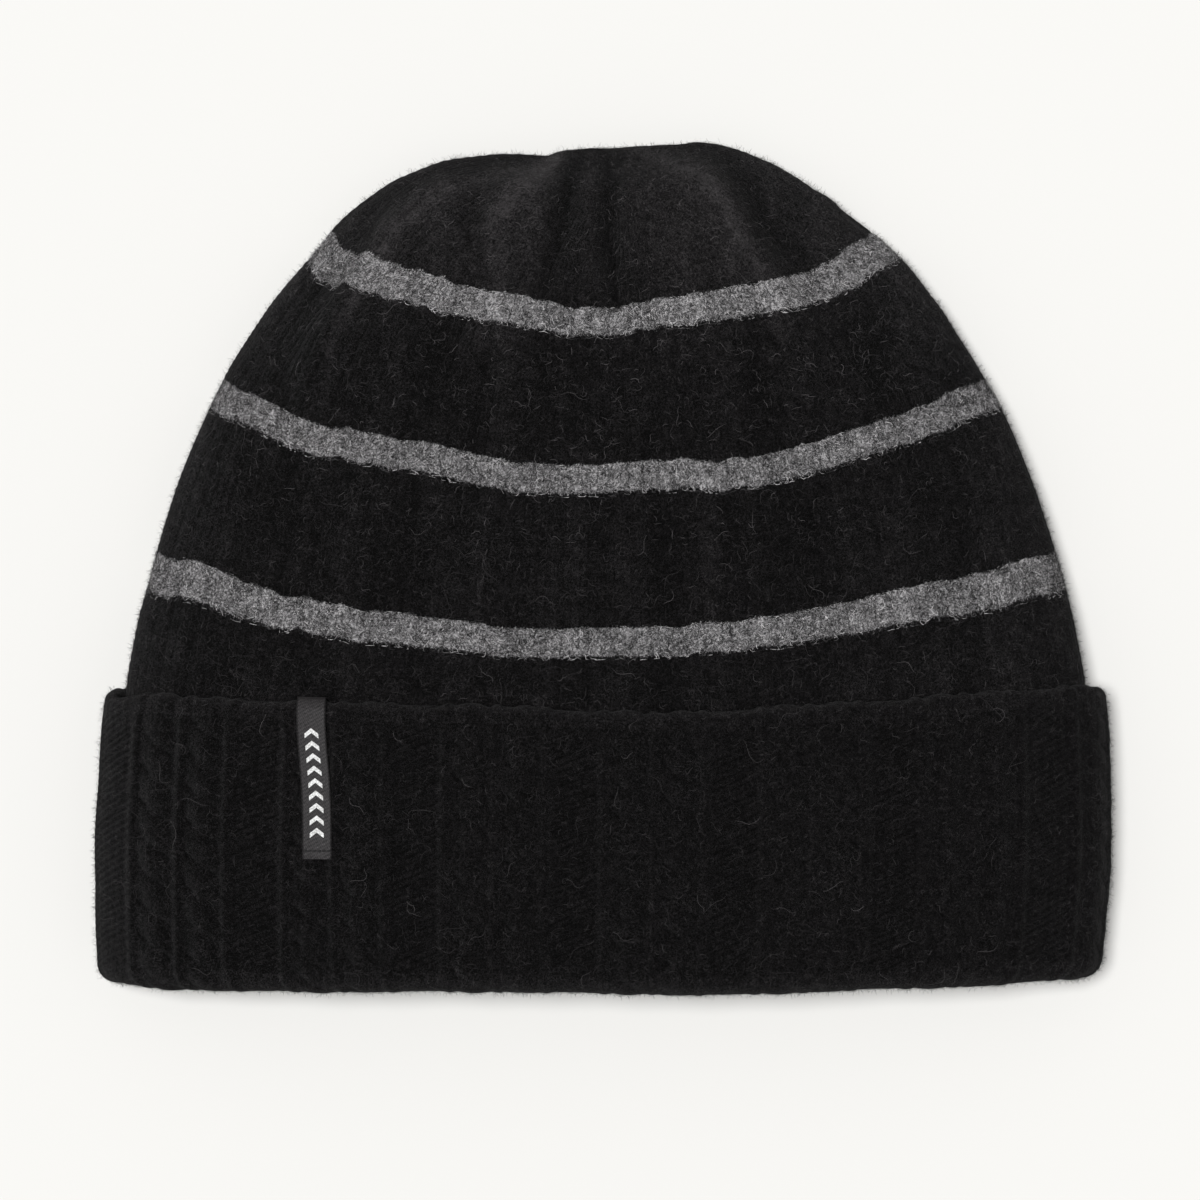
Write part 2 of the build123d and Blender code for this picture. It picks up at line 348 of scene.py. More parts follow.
def crown_folds(p, front):
    """Height of the gathers over the smooth crown, and the painted highlight and shade that go with them."""
    height, light = np.zeros(p.shape[:2]), np.zeros(p.shape[:2])
    # each fold: its path down from the crown, rise of the fold, drop beside it, breadth, side that is raised
    for path, rise_by, drop_by, breadth, side, fade in (
            ([(-7, 104), (-13, 99), (-26, 94), (-38, 88), (-50, 79), (-54, 73), (-58, 66), (-65, 54),
              (-69, 39), (-71, 33), (-73, 20)], 1.8, 2.6, 18, 1, 0.35),
            ([(-9, 104), (-17, 94), (-22, 88), (-27, 80), (-29, 68)], 1.2, 1.5, 8, 1, 0.6),
            ([(5, 104), (14, 98), (21, 94), (29, 85), (34, 76), (42, 62), (47, 46)], 2.0, 3.0, 17, -1, 0.35)):
        signed, share = nearest(p, path)
        signed = signed * side
        strength = ease((1 - share) / fade)
        up, down = np.clip(signed, 0, None), np.clip(-signed, 0, None)
        height += strength * np.where(signed >= 0, rise_by * np.exp(-(np.sqrt(up * up + 9) - 3) / breadth),
                                      (rise_by + drop_by) * np.exp(-(down / 5) ** 2)
                                      - drop_by * np.exp(-down / 9))
        # painted highlight along each fold's crest and painted shadow on its dropped side
        light += strength * (0.85 * np.exp(-((signed - 0.8) / 2.4) ** 2)
                             - 0.75 * np.exp(-((signed + 6) / 4.5) ** 2))
    for path, deep, wide, fade in (([(-6, 104), (-8, 92), (-10, 82), (-13, 66), (-14, 52)], 2.4, 3.4, 0.6),
                                   ([(1, 104), (1, 90), (1, 76), (3, 64), (5, 50)], 3.0, 3.4, 0.5),
                                   ([(10, 30), (12, 8), (12, -14)], 0.8, 3.0, 0.5),
                                   ([(-27, 50), (-31, 20), (-33, 0)], 0.7, 3.0, 0.5)):
        signed, share = nearest(p, path)
        strength = ease((1 - share) / fade)
        height -= strength * deep * np.exp(-(signed / wide) ** 2)
        # painted shade down each valley
        light -= strength * 0.42 * deep * np.exp(-(signed / (0.9 * wide)) ** 2)
    gathers = 0.7 * ease((p[..., 1] - 5) / 70) * lumps(p[..., 0] / 6 + 3, p[..., 1] / 45, 5)
    height = (height + gathers) * (1 - 0.92 * ease((p[..., 1] - 88) / 10))
    seam = -0.8 * np.exp(-(p[..., 0] / 1.4) ** 2) * ease((95 - p[..., 1]) / 12)
    back = 0.5 * ease((p[..., 1] - 30) / 50) * lumps(p[..., 0] / 9, p[..., 1] / 40, 6) + seam
    # painted light on the rising gathers and painted shade in the back seam's groove
    return np.where(front, height, back), np.where(front, light + 0.4 * gathers, 0.5 * seam)


# the gathers lift and drop the crown's outline: across, how far
outline_dips = [(-90, 0), (-66, 0), (-50, 1.5), (-39, 1.3), (-24.5, -0.8), (-20, -1.6), (-13.5, -3.0),
                (-9.6, -1.9), (-2.3, -1.4), (3.2, -1.2), (10.6, -1.0), (18, 0), (22.5, 1.3), (27, 1.6),
                (32, 1.6), (47, 0.9), (60, 0), (90, 0)]


def dip_outline(p):
    """Follow the gathers where they meet the outline."""
    loop_x = np.concatenate([left_side, right_side[::-1]])
    loop_y = np.concatenate([outline_y, outline_y[::-1]])
    over = np.interp(p[..., 0], loop_x, loop_y)
    near_outline = ease((p[..., 1] - over + 20) / 20)
    p[..., 1] += near_outline * np.interp(p[..., 0], *np.array(outline_dips).T)
    return p


# ---------------- knitting relief
repeat = 16 * wale
rib_places = (0.0, 11.35, 22.6)


def vee(s, r):
    """Stockinette: two slanting legs in each stitch."""
    x = np.abs((s % 1.0) - 0.5) * 2
    leg = np.abs(np.sin(np.pi * (r - 0.85 * x)))
    return (0.35 + 0.65 * leg ** 0.8) * (1 - (np.abs(x - 0.5) * 2) ** 3 * 0.8)


def cable_pattern(s, r):
    """Relief in mm of the cable and purl repeat; s in stitches, r in rows."""
    m = (s * wale) % repeat
    t = r * row
    relief = np.zeros(np.broadcast(m, t).shape)
    stitches = vee(s, r)
    for place in rib_places:
        off = (m - place + repeat / 2) % repeat - repeat / 2
        relief = np.maximum(relief, hump(off / 2.0) * (0.85 + 0.3 * stitches))
    for k, centre in enumerate((5.7, 17.0)):
        off = m - centre
        inside = hump(off / 5.0) ** 0.5
        phase = t / 7.6 + off / 11.0 + 0.5 * k
        twist = np.abs(np.cos(np.pi * phase))
        pit = (1 - twist) ** 2 * hump((np.abs(off) - 2.4) / 2.2)
        relief += inside * (0.55 + 0.62 * twist ** 0.7 + 0.22 * stitches) - 0.45 * pit
    off = m - (rib_places[2] + repeat) / 2
    panel = ease((6.6 - np.abs(off)) / 1.6)
    hatch = np.abs(np.sin(np.pi * (t - 0.42 * off) / row))
    relief += panel * (0.05 + 0.46 * hatch * (0.75 + 0.25 * np.abs(np.sin(np.pi * s))))
    return relief


def crown_relief(rows, s):
    r = rows[:, None]
    s = s[None]
    amount = 0.28 * (1 - ease((r - 60) / 30))
    felted = 0.22 + 0.06 * lumps(s / 5, r / 4, 21)
    return felted * vee(s, r) + amount * (cable_pattern(s + 0 * r, r) - 0.7) * 0.8


def outward(p):
    """Unit normals of a closed loop grid."""
    du = np.roll(p, -1, 1) - np.roll(p, 1, 1)
    dv = np.gradient(p, axis=0)
    n = np.cross(du, dv)
    length = np.linalg.norm(n, axis=-1, keepdims=True)
    return n / np.maximum(length, 1e-9)


# ---------------- meshes
def grid_piece(name, points, uv, material, closed=True, body="hat", slot=None, nodes=(), flip=False,
               floats=None):
    """A sheet of quads from points in mm, rows by columns, with the fabric's own coordinates."""
    rows, columns = points.shape[:2]
    index = np.arange(rows * columns).reshape(rows, columns)
    if closed:
        right = np.roll(index, -1, 1)
        a, b, c, d = index[:-1], right[:-1], right[1:], index[1:]
    else:
        a, b, c, d = index[:-1, :-1], index[:-1, 1:], index[1:, 1:], index[1:, :-1]
    quads = np.stack([a, b, c, d], -1).reshape(-1, 4)
    if flip:
        quads = quads[:, ::-1]
    faces = len(quads)
    mesh = bpy.data.meshes.new(name)
    mesh.vertices.add(rows * columns)
    mesh.vertices.foreach_set("co", (points.reshape(-1, 3) * mm).astype(np.float32).ravel())
    mesh.loops.add(faces * 4)
    mesh.loops.foreach_set("vertex_index", quads.astype(np.int32).ravel())
    mesh.polygons.add(faces)
    mesh.polygons.foreach_set("loop_start", (np.arange(faces) * 4).astype(np.int32))
    mesh.update(calc_edges=True)
    if uv is not None:
        layer = mesh.uv_layers.new(name="fabric")
        flat = uv.reshape(-1, 2)
        per_loop = flat[quads.ravel()].reshape(-1, 4, 2).copy()
        if closed:
            span = per_loop[..., 0].max(1) - per_loop[..., 0].min(1)
            wrapped = span > 20
            part = per_loop[wrapped]
            part[..., 0] = np.where(part[..., 0] < 20, part[..., 0] + front_wales + back_wales, part[..., 0])
            per_loop[wrapped] = part
        layer.data.foreach_set("uv", per_loop.astype(np.float32).ravel())
    for key, values in (floats or {}).items():
        attribute = mesh.attributes.new(key, "FLOAT", "POINT")
        spread = np.broadcast_to(values, (rows, columns)).astype(np.float32)
        attribute.data.foreach_set("value", spread.ravel())
    mesh.shade_smooth()
    return finish_piece(name, mesh, material, body, nodes)


def finish_piece(name, mesh, material, body="hat", nodes=()):
    piece = bpy.data.objects.new(name, mesh)
    bpy.context.scene.collection.objects.link(piece)
    mesh.materials.append(material)
    if body:
        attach(piece, body)
    if nodes:
        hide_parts(*nodes)
    return piece


# ---------------- materials
def new_material(name):
    material = bpy.data.materials.new(name)
    material.use_nodes = True
    nodes = material.node_tree.nodes
    return material, nodes, material.node_tree.links, nodes["Principled BSDF"]


def add_node(nodes, kind, **values):
    """A shader node with its inputs set; an underscore in a key stands for a space."""
    node = nodes.new("ShaderNode" + kind)
    set_inputs(node, **values)
    return node


def set_inputs(node, **values):
    for key, value in values.items():
        node.inputs[key.replace("_", " ")].default_value = value


def strands(nodes, links, vector, scale, width, distortion):
    """Thin wandering lines, like single fibres lying on the surface."""
    noise = add_node(nodes, "TexNoise", Scale=scale, Detail=1.0, Distortion=distortion)
    links.new(vector, noise.inputs["Vector"])
    size = maths(nodes, links, "ABSOLUTE", maths(nodes, links, "SUBTRACT", noise.outputs["Fac"], 0.5), 0.0)
    band = add_node(nodes, "MapRange", From_Min=0.0, From_Max=width, To_Min=1.0, To_Max=0.0)
    links.new(size, band.inputs["Value"])
    return band.outputs["Result"]


def maths(nodes, links, operation, a, b):
    node = nodes.new("ShaderNodeMath")
    node.operation = operation
    for socket, value in zip(node.inputs, (a, b)):
        if isinstance(value, (int, float)):
            socket.default_value = value
        else:
            links.new(value, socket)
    return node.outputs[0]


def ramp(nodes, links, fac, stops):
    node = nodes.new("ShaderNodeValToRGB")
    elements = node.color_ramp.elements
    while len(elements) < len(stops):
        elements.new(0.5)
    for element, (place, colour) in zip(elements, stops):
        element.position = place
        element.color = (*colour, 1)
    links.new(fac, node.inputs["Fac"])
    return node.outputs["Color"]


def wool(name, stops, strand_strength, other_stops=None, sheen=0.06, bump=0.8):
    """Fulled wool: felted noise with loose fibres, in the yarn's own shades; the ridge attribute paints shade
    into hollows and fold valleys and highlight onto ridges and crests.
    """
    material, nodes, links, shader = new_material(name)
    place = nodes.new("ShaderNodeTexCoord").outputs["Object"]
    soft = add_node(nodes, "TexNoise", Scale=2100.0, Detail=5.0, Roughness=0.7, Distortion=0.7)
    links.new(place, soft.inputs["Vector"])
    patches = add_node(nodes, "TexNoise", Scale=420.0, Detail=3.0)
    links.new(place, patches.inputs["Vector"])
    fine = strands(nodes, links, place, 2300.0, 0.024, 1.6)
    loose = strands(nodes, links, place, 1100.0, 0.010, 2.4)
    lines = maths(nodes, links, "MAXIMUM", fine, loose)
    body = maths(nodes, links, "ADD", maths(nodes, links, "MULTIPLY", soft.outputs["Fac"], 0.90),
                 maths(nodes, links, "MULTIPLY", patches.outputs["Fac"], 0.20))
    shade = maths(nodes, links, "ADD", body, maths(nodes, links, "MULTIPLY", lines, strand_strength))
    # painted shade and highlight: the ridge attribute darkens hollows and fold valleys and lightens ridges
    # and fold crests in the colour; it also feeds the bump
    ridge = nodes.new("ShaderNodeAttribute")
    ridge.attribute_name = "ridge"
    shade = maths(nodes, links, "ADD", shade, maths(nodes, links, "MULTIPLY", ridge.outputs["Fac"], 0.16))
    colour = ramp(nodes, links, shade, stops)
    if other_stops:
        edge = nodes.new("ShaderNodeAttribute")
        edge.attribute_name = "edge"
        patch = add_node(nodes, "TexNoise", Scale=1500.0, Detail=3.0, Distortion=1.5)
        links.new(place, patch.inputs["Vector"])
        chance = maths(nodes, links, "ADD", edge.outputs["Fac"],
                       maths(nodes, links, "SUBTRACT", patch.outputs["Fac"], 1.0))
        sharp = add_node(nodes, "MapRange", From_Min=-0.03, From_Max=0.05)
        links.new(chance, sharp.inputs["Value"])
        other = ramp(nodes, links, shade, other_stops)
        mix = nodes.new("ShaderNodeMix")
        mix.data_type = "RGBA"
        links.new(sharp.outputs["Result"], mix.inputs["Factor"])
        links.new(colour, mix.inputs["A"])
        links.new(other, mix.inputs["B"])
        colour = mix.outputs["Result"]
    links.new(colour, shader.inputs["Base Color"])
    relief = add_node(nodes, "Bump", Strength=bump, Distance=0.0003)
    links.new(shade, relief.inputs["Height"])
    links.new(relief.outputs["Normal"], shader.inputs["Normal"])
    set_inputs(shader, Roughness=0.92, Specular_IOR_Level=0.04, Sheen_Weight=sheen, Sheen_Roughness=0.45)
    return material


def grey(v):
    return (v * 1.03, v * 0.96, v * 0.99)


def heather(v):
    return (v * 1.01, v * 0.985, v)


black_stops = [(0.36, grey(0.0006)), (0.52, grey(0.0024)), (0.64, grey(0.0100)), (0.84, grey(0.060))]
grey_stops = [(0.40, heather(0.008)), (0.50, heather(0.07)), (0.57, heather(0.18)), (0.66, heather(0.48)),
              (0.8, heather(0.9))]
black_wool = wool("black_fulled_wool", black_stops, 0.22, grey_stops)
grey_wool = wool("grey_heather_wool", grey_stops, 0.26, black_stops)
fleece_stops = [(0.3, grey(0.004)), (0.7, grey(0.012)), (1.0, grey(0.03))]
fleece = wool("black_fleece", fleece_stops, 0.08, None, 0.2, 1.0)


def fibre_material(name, stops):
    """Loose fibres: each keeps one shade along its length."""
    material, nodes, links, shader = new_material(name)
    tone = nodes.new("ShaderNodeAttribute")
    tone.attribute_name = "tone"
    links.new(ramp(nodes, links, tone.outputs["Fac"], stops), shader.inputs["Base Color"])
    set_inputs(shader, Roughness=0.8, Specular_IOR_Level=0.08)
    return material


fibre_stops = [(0.0, grey(0.002)), (0.5, grey(0.012)), (0.75, grey(0.032)), (0.9, grey(0.075)),
               (1.0, grey(0.2))]
black_fibre = fibre_material("black_wool_fibre", fibre_stops)
grey_fibre = fibre_material("grey_wool_fibre",
                            [(0.0, heather(0.03)), (0.4, heather(0.18)), (1.0, heather(0.95))])


def plain(name, colour, roughness, specular=0.3):
    material, nodes, links, shader = new_material(name)
    place = nodes.new("ShaderNodeTexCoord").outputs["Object"]
    noise = add_node(nodes, "TexNoise", Scale=2400.0)
    links.new(place, noise.inputs["Vector"])
    dark = tuple(0.6 * c for c in colour)
    light = tuple(min(1.35 * c, 1) for c in colour)
    links.new(ramp(nodes, links, noise.outputs["Fac"], [(0.3, dark), (0.7, light)]),
              shader.inputs["Base Color"])
    set_inputs(shader, Roughness=roughness, Specular_IOR_Level=specular)
    return material


black_thread = plain("black_polyester_thread", grey(0.012), 0.5)
white_thread = plain("white_thread", (0.78, 0.78, 0.76), 0.6)


def ribbon(name, dark, light, across_count, along_count, specular, ends=None):
    """Woven ribbon: crossing threads counted in the ribbon's own coordinates, 0 to 1 across and mm along."""
    material, nodes, links, shader = new_material(name)
    split = nodes.new("ShaderNodeSeparateXYZ")
    links.new(nodes.new("ShaderNodeTexCoord").outputs["UV"], split.inputs[0])
    u, v = split.outputs[0], split.outputs[1]
    warp = maths(nodes, links, "SINE", maths(nodes, links, "MULTIPLY", u, across_count * 2 * math.pi), 0.0)
    slant = maths(nodes, links, "ADD", maths(nodes, links, "MULTIPLY", v, along_count * 2 * math.pi),
                  maths(nodes, links, "MULTIPLY", u, across_count * math.pi))
    weft = maths(nodes, links, "SINE", slant, 0.0)
    weave = maths(nodes, links, "MULTIPLY", warp, weft)
    noise = add_node(nodes, "TexNoise", Scale=2600.0, Detail=3.0)
    links.new(nodes["Texture Coordinate"].outputs["Object"], noise.inputs["Vector"])
    shade = maths(nodes, links, "ADD", maths(nodes, links, "MULTIPLY", weave, 0.2), noise.outputs["Fac"])
    selvedge = maths(nodes, links, "ABSOLUTE", maths(nodes, links, "SUBTRACT", u, 0.5), 0.0)
    dim = add_node(nodes, "MapRange", From_Min=0.43, From_Max=0.47, To_Max=-0.28)
    links.new(selvedge, dim.inputs["Value"])
    shade = maths(nodes, links, "ADD", shade, dim.outputs["Result"])
    if ends is not None:
        close = add_node(nodes, "MapRange", From_Min=0.0, From_Max=ends, To_Min=0.42, To_Max=0.0)
        links.new(maths(nodes, links, "ABSOLUTE", v, 0.0), close.inputs["Value"])
        shade = maths(nodes, links, "ADD", shade, close.outputs["Result"])
    links.new(ramp(nodes, links, shade, [(0.2, dark), (0.8, light),
                                         (1.0, tuple(min(2.2 * c, 1) for c in light))]),
              shader.inputs["Base Color"])
    relief = add_node(nodes, "Bump", Strength=0.5, Distance=0.0001)
    links.new(shade, relief.inputs["Height"])
    links.new(relief.outputs["Normal"], shader.inputs["Normal"])
    set_inputs(shader, Roughness=0.6, Specular_IOR_Level=specular)
    return material


label_weave = ribbon("charcoal_label_weave", grey(0.010), grey(0.056), 9, 1.1, 0.15, ends=0.9)
care_satin = ribbon("white_satin_ribbon", (0.60, 0.60, 0.58), (0.86, 0.86, 0.84), 60, 2.6, 0.5)


# ---------------- loose fibres
def mesh_piece(name, points, quads, material, nodes=(), tone=None, body="hat"):
    mesh = bpy.data.meshes.new(name)
    mesh.from_pydata((np.asarray(points) * mm).tolist(), [], np.asarray(quads).tolist())
    if tone is not None:
        mesh.attributes.new("tone", "FLOAT", "POINT").data.foreach_set("value", np.asarray(tone, np.float32))
    mesh.shade_smooth()
    return finish_piece(name, mesh, material, body, nodes)


def between(grid, r, c):
    """Value on a grid at any row and column."""
    ri = np.clip(r.astype(int), 0, grid.shape[0] - 2)
    ci = np.clip(c.astype(int), 0, grid.shape[1] - 2)
    a, b = np.clip(r - ri, 0, 1)[..., None], np.clip(c - ci, 0, 1)[..., None]
    near = grid[ri, ci] * (1 - b) + grid[ri, ci + 1] * b
    far = grid[ri + 1, ci] * (1 - b) + grid[ri + 1, ci + 1] * b
    return near * (1 - a) + far * a


def fibres(name, surface, count, seed, length, lift, tones, material, slot, steps=4, width=0.07, standing=0.1,
           edges=0.0):
    """Curly fibres lying on a surface, each a narrow ribbon; a share of them stand up."""
    rng = np.random.default_rng(seed)
    down, right = np.gradient(surface, axis=0), np.gradient(surface, axis=1)
    normal = np.cross(right, down)
    size = np.linalg.norm(normal, axis=-1)
    normal /= np.maximum(size, 1e-9)[..., None]
    weight = size[:-1, :-1] * (1 + edges * (1 - normal[:-1, :-1, 2].clip(0, 1)))
    cell = rng.choice(weight.size, count, p=(weight / weight.sum()).ravel())
    r0 = cell // weight.shape[1] + rng.random(count)
    c0 = cell % weight.shape[1] + rng.random(count)
    row_step = np.linalg.norm(down, axis=-1)[r0.astype(int), c0.astype(int)].clip(0.05)
    column_step = np.linalg.norm(right, axis=-1)[r0.astype(int), c0.astype(int)].clip(0.05)
    s = np.linspace(0, 1, steps + 1)[None]
    reach = rng.uniform(*length, count)
    angle = rng.uniform(0, 2 * np.pi, count)[:, None] + rng.normal(0, 1.3, count)[:, None] * s
    angle = angle + 0.6 * np.sin(2 * np.pi * (s * rng.uniform(0.5, 1.3, count)[:, None]
                                              + rng.random(count)[:, None]))
    step = (reach / steps)[:, None]
    r = r0[:, None] + np.cumsum(np.sin(angle) * step / row_step[:, None], 1)
    c = c0[:, None] + np.cumsum(np.cos(angle) * step / column_step[:, None], 1)
    r, c = r.clip(0, surface.shape[0] - 1.001), c.clip(0, surface.shape[1] - 1.001)
    out = between(normal, r, c)
    out /= np.maximum(np.linalg.norm(out, axis=-1, keepdims=True), 1e-9)
    up = rng.uniform(*lift, count)[:, None]
    stands = (rng.random(count) < standing)[:, None]
    height = np.where(stands, 3.2 * up * s ** 1.4, up * np.sin(np.pi * (0.12 + 0.76 * s)))
    line = between(surface, r, c) + out * (0.06 + height)[..., None]
    side = np.cross(np.gradient(line, axis=1), out)
    side /= np.maximum(np.linalg.norm(side, axis=-1, keepdims=True), 1e-9)
    side *= (0.5 * width * rng.uniform(0.7, 1.3, count)[:, None]
             * (1 - 0.55 * np.abs(2 * s - 1) ** 3))[..., None]
    points = np.stack([line - side, line + side], 2).reshape(-1, 3)
    points[:, 2] = np.maximum(points[:, 2], 0.1)
    start = (np.arange(count) * 2 * (steps + 1))[:, None] + 2 * np.arange(steps)[None]
    quads = np.stack([start, start + 1, start + 3, start + 2], -1).reshape(-1, 4)
    tone = np.repeat(tones[0] + (tones[1] - tones[0]) * rng.random(count) ** 1.8, 2 * (steps + 1))
    return mesh_piece(name, points, quads, material, tone=tone)


# ---------------- crown pieces
# 1 where the back lies on the floor, 0 elsewhere
on_floor = np.where(is_front, 0.0, 1.0)[None] * ease((rise - 0.85) / 0.15)[None]
samples = 4                             # rows of points to a row of knitting
bounds_rows = [0]
for at_row in stripe_rows.values():
    bounds_rows += [at_row - stripe_half_rows, at_row + stripe_half_rows]
bounds_rows.append(apex_row)
names = ["lower_band", "lower_stripe", "middle_band", "middle_stripe", "upper_band", "top_stripe",
         "crown_cap"]

first = -2                              # the knit starts this far behind the cuff's edge
row_zero = -first * samples
all_rows = np.arange(first * samples, int(apex_row * samples) + 1) / samples
smooth = crown_grid(all_rows)
front_mask = np.broadcast_to(is_front[None], smooth.shape[:2])
smooth_normals = outward(smooth)
folds, light = crown_folds(smooth, front_mask)
raised = dip_outline(smooth + smooth_normals * (folds * ease((apex_row - all_rows) / 3)[:, None])[..., None])
# painted light and shade of the folds: their painted highlight and shadow, lighter where the crown rises and
# darker in its dips; also lighter towards the top of the crown, plus random tone
fold_shade_and_tone = (0.75 * light + 0.06 * np.clip(folds, -3, 3) + 0.55 * ease((smooth[..., 1] - 45) / 40)
        + 0.3 * rough(smooth[..., 0] / 5, smooth[..., 1] / 30, 44))
sag = 0.5 * rough(raised[..., 0] / 26, raised[..., 1] / 26, 40)
normals = outward(raised)
normals[all_rows >= apex_row - 1] = (0, 1, 0)       # the last rows draw together to a point
relief = crown_relief(all_rows, stitch) * ease((apex_row - all_rows) / 2)[:, None]
crown_points = raised + normals * ((relief + sag * (1 - on_floor)) * (1 - 0.75 * on_floor))[..., None]
crown_points[..., 2] = np.maximum(crown_points[..., 2], 0.15)

# stitches poke over the stripes' edges
scallop = 0.10 * (np.abs((stitch * 0.5) % 1.0 - 0.5) * 2 - 0.5) + 0.3 * lumps(stitch * 0.45, stitch * 0, 9)
stretch = np.zeros_like(all_rows)[:, None] * scallop[None]
for b in bounds_rows[1:-1]:
    stretch = stretch + scallop[None] * np.exp(-((all_rows - b)[:, None] / 1.2) ** 2)
along_step = np.gradient(crown_points, axis=0) * samples
crown_points = crown_points + along_step * stretch[..., None]

for k, name in enumerate(names):
    low = bounds_rows[k] if k else first
    high = bounds_rows[k + 1]
    pick = (all_rows >= low - 1e-6) & (all_rows <= high + 1e-6)
    rows_here = all_rows[pick]
    uv = np.stack(np.broadcast_arrays(stitch[None], rows_here[:, None]), -1)
    away = np.full(len(rows_here), 99.0)
    for b in bounds_rows[1:-1]:
        away = np.minimum(away, np.abs(rows_here - b))
    edge = 0.5 * np.exp(-(away / 0.6) ** 1.2)[:, None]
    is_stripe = name.endswith("stripe")
    # the ridge attribute is painted shade: the knit is darker in its hollows and lighter on its raised
    # stitches, plus the folds' painted light and shade, which is weaker on the stripes
    grid_piece(f"{name}_knit", crown_points[pick], uv, grey_wool if is_stripe else black_wool,
               slot="grey_wool" if is_stripe else "black_wool", nodes=[name],
               floats={"edge": edge, "ridge": (relief[pick] - 0.25) * 1.2
                       + fold_shade_and_tone[pick] * (0.3 if is_stripe else 1.0)})


# ---------------- cuff pieces
def black_knit(name, points, uv, nodes=(), floats={"edge": 0.0}, **more):
    return grid_piece(name, points, uv, black_wool, slot="black_wool", nodes=nodes, floats=floats, **more)


def cuff_waves(p):
    """Slow unevenness of the cuff, which the label follows too."""
    return 0.45 * rough(p[..., 0] / 22, p[..., 1] / 22, 60)


cuff_rows = 41
fold_share = turn / (edge_middle - bottom_y)
edge_share = 1 - edge_turn / (edge_middle - bottom_y)
heights = np.linspace(fold_share, edge_share, cuff_rows * samples + 1)
arc = np.linspace(0, math.pi, 17)
over_heights = np.concatenate([edge_share + (1 - edge_share) * np.sin(arc),
                               edge_share - np.array([1, 2, 3, 4.0]) * 0.02])
over_depth = np.concatenate([edge_turn * (1 - np.cos(arc)), np.full(4, 2 * edge_turn)])
under_arc = np.linspace(math.pi, 0, 21)
turn_heights = fold_share * (1 - np.sin(under_arc))
turn_depth = turn * (1 - np.cos(under_arc))
cuff_heights = np.concatenate([turn_heights, heights[1:], over_heights[1:]])
cuff_depths = np.concatenate([turn_depth, np.zeros(len(heights) - 1), over_depth[1:]])
cuff_smooth = cuff_grid(cuff_heights, cuff_depths)
cuff_normals = outward(cuff_smooth)
path = along(cuff_smooth[:, front_columns // 2, 1], cuff_smooth[:, front_columns // 2, 2])
path_rows = path / row
cuff_stitch = stitch + cuff_shift
pattern = cable_pattern(cuff_stitch[None] + 0 * path_rows[:, None], path_rows[:, None])
start_edge = path_rows[len(turn_heights) + len(heights) - 3]
near_edge = np.exp(-((path_rows - start_edge) / 1.5) ** 2)[:, None]
ring = np.arange(len(path_rows))
wrap_fold = ease((ring - 8) / 10)[:, None] * ease((len(ring) - ring) / 8)[:, None]
pattern = (pattern * (1 - 0.75 * near_edge) + 0.38 * near_edge
           + 0.15 * near_edge * np.abs(np.sin(np.pi * stitch))[None])
waves = cuff_waves(cuff_smooth) * (1 - 0.8 * near_edge)
lift = ((pattern - 0.5) * (0.3 + 0.7 * wrap_fold) + waves * (1 - on_floor)) * (1 - 0.7 * on_floor)
cuff_points = cuff_smooth + cuff_normals * lift[..., None]
cuff_points[..., 2] = np.maximum(cuff_points[..., 2], 0.12)
cuff_uv = np.stack(np.broadcast_arrays(cuff_stitch[None], path_rows[:, None]), -1)
# painted shade: the cuff's low knit between ribs and cables is painted darker and its raised stitches lighter
cuff_relief_shade = 0.25 * (pattern - 0.6) + 0.9 * (pattern - 0.28) * ease((0.7 - pattern) / 0.2) - 0.3
fold_end = len(turn_heights)
edge_begin = len(turn_heights) + len(heights) - 6
front_slice = np.arange(0, front_columns + 1)
back_slice = np.concatenate([np.arange(front_columns, len(across)), [0]])
back_uv = cuff_uv[:, back_slice].copy()
back_uv[:, -1, 0] = front_wales + back_wales + cuff_shift
outer = slice(fold_end - 1, edge_begin)
for name, columns, uv, nodes in (("cuff_front_cables", front_slice, cuff_uv[:, front_slice], ["cuff"]),
                                 ("cuff_back_cables", back_slice, back_uv, [])):
    black_knit(name, cuff_points[outer][:, columns], uv[outer], nodes, closed=False,
               floats={"edge": 0.0, "ridge": cuff_relief_shade[outer][:, columns]})
black_knit("cuff_free_edge", cuff_points[edge_begin - 1:], cuff_uv[edge_begin - 1:])
black_knit("brim_fold_roll", cuff_points[:fold_end], cuff_uv[:fold_end], ["brim_fold"])

# ---------------- inside
inner_columns = np.arange(0, len(across), 4)
inner_stitch = stitch[inner_columns]
inner_count = 60
inner_heights = np.linspace(fold_share, 0.97, inner_count)
inner = cuff_grid(inner_heights, np.full(inner_count, brim_depth), inner_columns)
inner_rows = np.linspace(0, 40, inner_count)
purl = 0.3 * (np.abs(np.sin(np.pi * inner_rows))[:, None] * np.abs(np.sin(np.pi * inner_stitch))[None])
inner = inner + -outward(inner) * purl[..., None]
inner_uv = np.stack(np.broadcast_arrays(inner_stitch[None], inner_rows[:, None]), -1)
black_knit("brim_inner_knit", inner, inner_uv, ["brim_inner_layer"], flip=True)

inside_rows = np.arange(2, apex_row - 1, 1.0)
inside = crown_grid(inside_rows, inner_columns, inset=3.6)
inside_uv = np.stack(np.broadcast_arrays(inner_stitch[None], inside_rows[:, None]), -1)
black_knit("crown_inside_knit", inside, inside_uv, flip=True)

